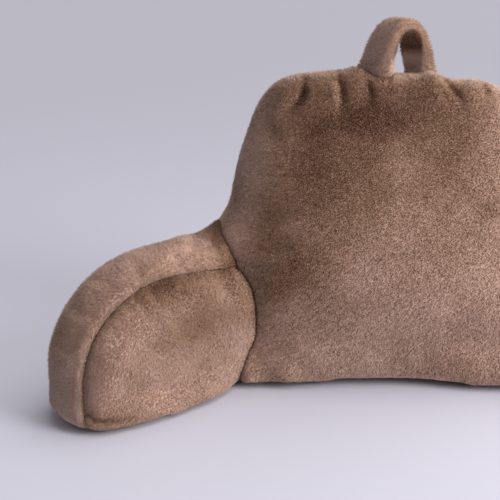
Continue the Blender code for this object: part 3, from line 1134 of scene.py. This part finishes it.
class PillowCloth(bpy.types.PropertyGroup):
    """How the cloth and its filling behave"""
    mesh_size: FloatProperty(
        name="Mesh size", description="Side of the skins' quads", default=0.0075, unit="LENGTH")
    loop_mesh_size: FloatProperty(
        name="Loop mesh size", description="The same for the carry loop", default=0.0045,
        unit="LENGTH")
    draw_in: FloatProperty(
        name="Draw in", description="How far the skins lie inside the pile's tips", default=0.0055,
        unit="LENGTH")
    loop_draw_in: FloatProperty(
        name="Loop draw in", description="The same for the carry loop", default=0.0032,
        unit="LENGTH")
    underside: FloatProperty(
        name="Underside share", description="Share of that where it rests", default=0.25, min=0.0,
        max=1.0, subtype="FACTOR")
    pressure: FloatProperty(
        name="Pressure", description="Push of the filling on the cloth", default=4.0)
    bending: FloatProperty(
        name="Bending stiffness", description="How little the cloth wants to fold", default=0.6)
    slack: FloatProperty(
        name="Slack", description="Share by which the cloth is too long", default=0.03, min=0.0,
        max=0.2, subtype="FACTOR")
    frames: IntProperty(
        name="Frames", description="Length of the simulation", default=20, min=2, max=60)
    cap: FloatProperty(
        name="Cap", description="How far the filling may push it", default=0.003, unit="LENGTH")
    floor_gap: FloatProperty(
        name="Floor gap", description="Height of the lowest cloth", default=0.0012, unit="LENGTH")


class PillowPile(bpy.types.PropertyGroup):
    """The pile"""
    length: FloatProperty(
        name="Length", description="Length of a tuft", default=0.0048, unit="LENGTH")
    width: FloatProperty(
        name="Width", description="Width of a tuft at its root", default=0.0016, unit="LENGTH")
    rise: FloatProperty(
        name="Rise", description="How far a tuft stands up", default=1.15, subtype="ANGLE")
    ruffle: FloatProperty(
        name="Ruffle", description="How far ruffled patches turn aside", default=0.35,
        subtype="ANGLE")
    ruffle_size: FloatProperty(
        name="Ruffle size", description="Size of those patches", default=0.024, unit="LENGTH")
    stray: FloatProperty(
        name="Stray", description="How far single tufts turn aside", default=0.42, subtype="ANGLE")
    sink: FloatProperty(
        name="Sink", description="How deep the roots sit in the cloth", default=0.0005,
        unit="LENGTH")
    floor_gap: FloatProperty(
        name="Floor gap", description="Height of the lowest tips", default=0.0004, unit="LENGTH")
    back_tufts: IntProperty(
        name="Back tufts", description="Tufts on the back cushion", default=100000)
    arm_tufts: IntProperty(
        name="Arm tufts", description="Tufts on each arm", default=45000)
    loop_tufts: IntProperty(
        name="Loop tufts", description="Tufts on the carry loop", default=7500)
    piece_tufts: IntProperty(
        name="Tufts a piece", description="Most tufts in one mesh", default=48000)


class PillowStage(bpy.types.PropertyGroup):
    """Floor, lights and camera"""
    floor_size: FloatProperty(
        name="Floor size", description="Side of the square floor", default=300.0, unit="LENGTH")
    key_power: FloatProperty(
        name="Key light", description="Power of the soft light at the right", default=46.0,
        unit="POWER")
    key_place: FloatVectorProperty(
        name="Key light's place", description="Where that light hangs", default=(1.5, -0.9, 0.9),
        subtype="TRANSLATION")
    key_size: FloatProperty(
        name="Key light's size", description="How wide it is", default=1.2, unit="LENGTH")
    top_power: FloatProperty(
        name="Top light", description="Strength of the soft light above", default=2.3)
    top_angle: FloatProperty(
        name="Top light's size", description="Angle that it takes up", default=math.radians(60.0),
        subtype="ANGLE")
    top_from: FloatVectorProperty(
        name="Top light's place", description="Direction that it comes from",
        default=(0.35, 0.25, 1.0), subtype="DIRECTION")
    fill: FloatProperty(
        name="Fill", description="Strength of the light from all round", default=0.45)
    lens: FloatProperty(
        name="Lens", description="Focal length of the camera", default=64.8, unit="CAMERA")
    camera_tilt: FloatProperty(
        name="Camera tilt", description="How far the camera looks down",
        default=math.radians(15.9), subtype="ANGLE")
    camera_place: FloatVectorProperty(
        name="Camera place", description="Where the camera stands",
        default=(-0.194, -1.1314, 0.494), subtype="TRANSLATION")


class PILLOW_PT_panel(bpy.types.Panel):
    """The pillow's pieces and settings"""
    bl_idname = "PILLOW_PT_panel"
    bl_label = "Reading pillow"
    bl_space_type = "VIEW_3D"
    bl_region_type = "UI"
    bl_category = "Pillow"

    def draw(self, context):
        layout = self.layout
        for operator in OPERATORS:
            layout.operator(operator.bl_idname)
        for name in SETTINGS:
            box = layout.box()
            for key in SETTINGS[name].__annotations__:
                box.prop(getattr(context.scene, name), key)


OPERATORS = (
    PILLOW_OT_make_stage, PILLOW_OT_make_back, PILLOW_OT_make_arms, PILLOW_OT_make_loop,
    PILLOW_OT_make_pile)
SETTINGS = {"pillow_cloth": PillowCloth, "pillow_pile": PillowPile, "pillow_stage": PillowStage}
CLASSES = (*SETTINGS.values(), *OPERATORS, PILLOW_PT_panel)


def register():
    """Make the classes known and hang the settings on the scene."""
    for group in CLASSES:
        bpy.utils.register_class(group)
    for name, group in SETTINGS.items():
        setattr(bpy.types.Scene, name, PointerProperty(type=group))


def unregister():
    """Take the settings and classes away again."""
    for name in SETTINGS:
        delattr(bpy.types.Scene, name)
    for group in reversed(CLASSES):
        bpy.utils.unregister_class(group)


def main():
    """Make the pillow and its stage."""
    register()
    for operator in OPERATORS:
        group, name = operator.bl_idname.split(".")
        getattr(getattr(bpy.ops, group), name)()
    bpy.context.view_layer.update()


if __name__ == "__main__":
    main()
